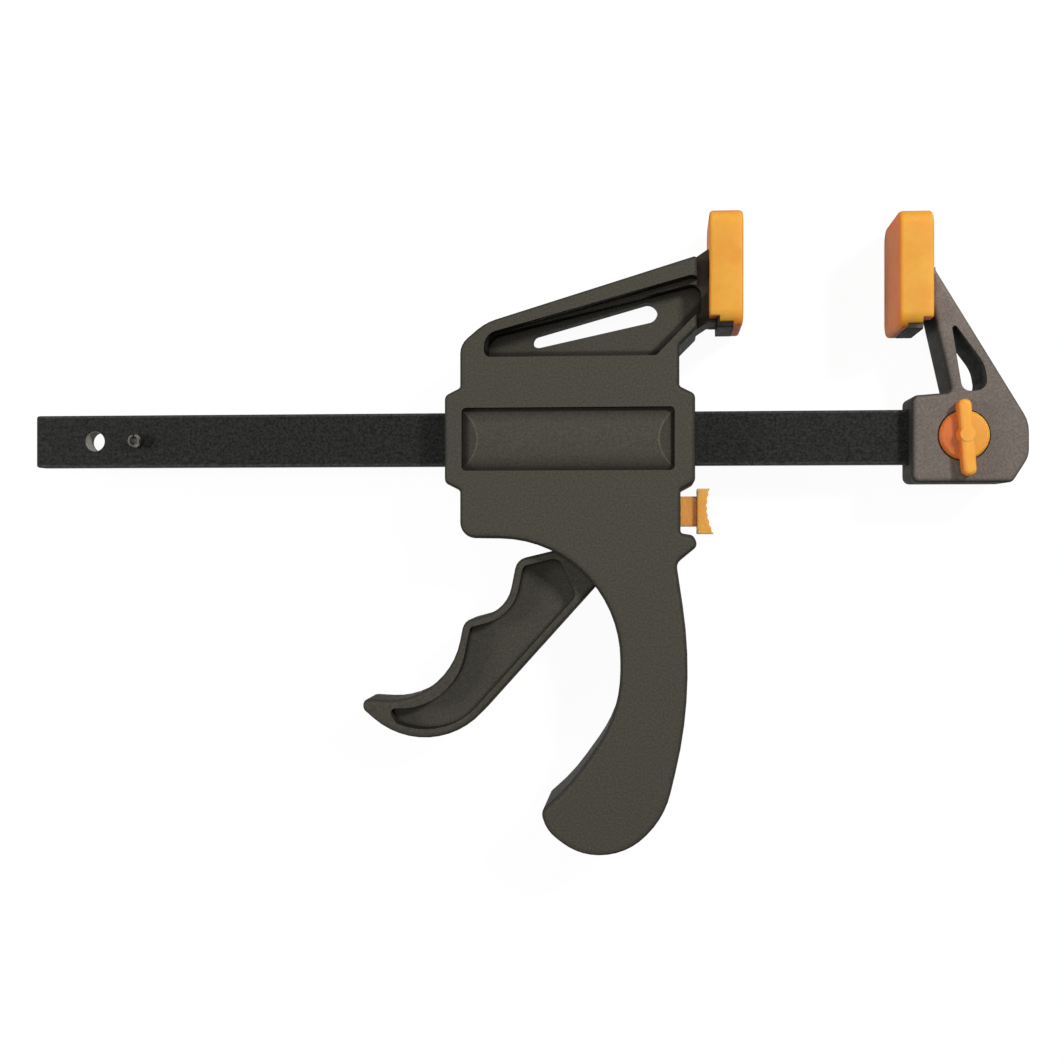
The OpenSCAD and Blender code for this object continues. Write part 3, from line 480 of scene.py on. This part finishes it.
# %% The bar's finish
BAR_LOW, BAR_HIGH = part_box("bar")
BAR_MIDDLE = (BAR_LOW.y + BAR_HIGH.y) / 2
BAR_HALF = (BAR_HIGH.y - BAR_LOW.y) / 2
BAR_GLOSS = 0.22
BAR_ROUGH = (0.60, 0.80)
OXIDE_SCALE = 1100
OXIDE = ((0.001, 0.001, 0.001), (0.024, 0.024, 0.022))
OXIDE_STEPS = (0.40, 0.62)
WEAR_AND_HIGHLIGHT_SCALE = 500
WEAR_AND_HIGHLIGHT_STEEL = ((0.06, 0.06, 0.055), (0.22, 0.22, 0.20))
WEAR_AND_HIGHLIGHT_SHARE = 0.20
WEAR_AND_HIGHLIGHT_INSET = (0.0011, 0.00066)
SPARE_HOLE = (-0.15455, 0.03336)
SPARE_RADIUS = 0.0036
BORE_SCALE = 400
BORE_STEEL = ((0.26, 0.25, 0.22), (0.34, 0.33, 0.29))
DRAWN_SCALE = 900
DRAWN_STRETCH = (0.3, 1, 1)
DRAWN_DEPTH = 0.00002
PIT_SCALE = 700
PIT_DEPTH = 0.00003


# Rubbed steel and a painted highlight: a lighter band along the bar's two rounded edges.
def black_oxide():
    made, tree, shader = new_material("bar_oxide")
    place = parted(tree, place_on(tree))
    mottle = shades(tree, noise(tree, OXIDE_SCALE, detail=4, rough=0.8), *OXIDE, *OXIDE_STEPS)
    edge_steel = shades(tree, noise(tree, WEAR_AND_HIGHLIGHT_SCALE, detail=4), *WEAR_AND_HIGHLIGHT_STEEL)
    from_middle = combine(tree, "ABSOLUTE", combine(tree, "SUBTRACT", place["Y"], BAR_MIDDLE))
    edge_wear_and_highlight = span(tree, from_middle, 0, WEAR_AND_HIGHLIGHT_SHARE, BAR_HALF - WEAR_AND_HIGHLIGHT_INSET[0], BAR_HALF - WEAR_AND_HIGHLIGHT_INSET[1])
    aside = combine(tree, "SUBTRACT", place["X"], SPARE_HOLE[0])
    above = combine(tree, "SUBTRACT", place["Y"], SPARE_HOLE[1])
    squares = combine(tree, "ADD", product(tree, aside, aside), product(tree, above, above))
    in_bore = combine(tree, "LESS_THAN", combine(tree, "SQRT", squares), SPARE_RADIUS)
    bore = shades(tree, noise(tree, BORE_SCALE, detail=3), *BORE_STEEL)
    skin = blend(tree, edge_wear_and_highlight, mottle, edge_steel)
    tree.links.new(blend(tree, in_bore, skin, bore), shader.inputs["Base Color"])
    shader.inputs["Specular IOR Level"].default_value = BAR_GLOSS
    drawn = noise(tree, DRAWN_SCALE, detail=3, stretch=DRAWN_STRETCH)
    tree.links.new(span(tree, drawn, *BAR_ROUGH), shader.inputs["Roughness"])
    pits = relief(tree, noise(tree, PIT_SCALE, detail=4, rough=0.7), PIT_DEPTH)
    tree.links.new(relief(tree, drawn, DRAWN_DEPTH, pits), shader.inputs["Normal"])
    return made


bar_oxide = black_oxide()
print("finish:", bar_oxide.name)

# %% [markdown]
# Pins, plates, springs and screws are plain steel, and the screws are blackened. A pin is turned, so its
# lines run round it. A plate is blanked and tumbled, so it has no direction. All come from one recipe,
# in which only the shade, the roughness and the stretch of the lines differ.

# %% Plain steel finishes
LIGHTER_TINT = 1.25
STAIN_SCALE = 250
LINE_SCALE = 1600
LINE_DEPTH = 0.00001


def plain_steel(name, shade, rough, stretch=None):
    made, tree, shader = new_material(name)
    stain = noise(tree, STAIN_SCALE, detail=4)
    tree.links.new(shades(tree, stain, shade, tinted(shade, LIGHTER_TINT)), shader.inputs["Base Color"])
    shader.inputs["Metallic"].default_value = 1.0
    lines = noise(tree, LINE_SCALE, detail=3, stretch=stretch)
    tree.links.new(span(tree, lines, *rough), shader.inputs["Roughness"])
    tree.links.new(relief(tree, lines, LINE_DEPTH), shader.inputs["Normal"])
    return made


pin_steel = plain_steel("pin_steel", shade=(0.22, 0.21, 0.19), rough=(0.26, 0.46), stretch=(0.1, 0.1, 1))
plate_steel = plain_steel("plate_steel", shade=(0.38, 0.38, 0.37), rough=(0.30, 0.48))
wire_steel = plain_steel("spring_wire", shade=(0.34, 0.34, 0.35), rough=(0.22, 0.36))
screw_black = plain_steel("screw_black", shade=(0.045, 0.045, 0.045), rough=(0.30, 0.45))
print("finish:", pin_steel.name, plate_steel.name, wire_steel.name, screw_black.name)

# %% [markdown]
# The CAD pieces have the right shapes. All of them are shaded smooth, with an edge left sharp wherever two
# faces turn by 11 degrees or more. The jaw, the pads, the knob and the button also get a bevel modifier,
# because no moulding has knife edges. It needs welded corners and few flat faces, so a weld and a planar
# decimate come before it. Modifiers leave the CAD mesh itself as it was.

# %% Dress the CAD pieces
SHARP_FROM = math.radians(11.0)
WELD_WITHIN = 0.000004
FLAT_WITHIN = math.radians(0.6)
BEVEL_FROM = math.radians(32)
BEVEL_STEPS = 3
FINISHES = {
    "bar": bar_oxide, "stop_pin": pin_steel, "jaw_pin": pin_steel, "trigger_pin": pin_steel,
    "fixed_jaw": jaw_nylon, "front_shell": body_nylon, "rear_shell": body_nylon, "trigger": trigger_nylon,
    "fixed_pad": pad_orange, "moving_pad": pad_orange,
    "wing_knob": knob_orange, "release_button": button_orange,
    "drive_plate_left": plate_steel, "drive_plate_right": plate_steel, "brake_plate": plate_steel,
    "drive_spring": wire_steel, "brake_spring": wire_steel, "shell_screws": screw_black,
}
BEVELS = {
    "fixed_jaw": 0.0011, "fixed_pad": 0.0026, "moving_pad": 0.0026, "wing_knob": 0.0005,
    "release_button": 0.0003,
}


def round_edges(piece, width):
    weld = piece.modifiers.new("weld", "WELD")
    weld.merge_threshold = WELD_WITHIN
    flat = piece.modifiers.new("flat", "DECIMATE")
    flat.decimate_type = "DISSOLVE"
    flat.angle_limit = FLAT_WITHIN
    bevel = piece.modifiers.new("edges", "BEVEL")
    bevel.width = width
    bevel.segments = BEVEL_STEPS
    bevel.limit_method = "ANGLE"
    bevel.angle_limit = BEVEL_FROM
    even = piece.modifiers.new("even", "WEIGHTED_NORMAL")
    even.keep_sharp = True


for name, finish in FINISHES.items():
    piece = parts[name]
    for holder in piece.material_slots:
        holder.material = finish
    if name in BEVELS:
        round_edges(piece, BEVELS[name])
    piece.data.polygons.foreach_set("use_smooth", [True] * len(piece.data.polygons))
    piece.data.set_sharp_from_angle(angle=SHARP_FROM)
print("dressed:", len(FINISHES), "of", len(parts))
